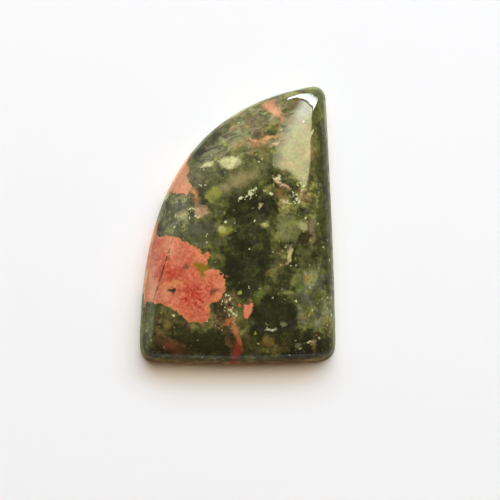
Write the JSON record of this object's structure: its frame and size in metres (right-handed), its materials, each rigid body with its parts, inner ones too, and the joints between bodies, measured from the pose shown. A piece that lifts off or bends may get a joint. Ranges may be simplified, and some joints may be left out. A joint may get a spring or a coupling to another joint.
{
  "type": "unakite cabochon",
  "caption": "Freeform polished stone with a domed crown, a leaning edge and a flat back, to be set in a bezel or glued to a pad.",
  "frame": {"origin": "middle of the bounding box on the flat back", "axes": "+Z out of the dome, +Y along the stone towards its pointed end, +X towards its straight side"},
  "size_m": [0.0146, 0.021, 0.0037],
  "materials": {
    "unakite": "polished"
  },
  "bodies": {
    "root": {"cabochon": "unakite"}
  },
  "joints": []
}
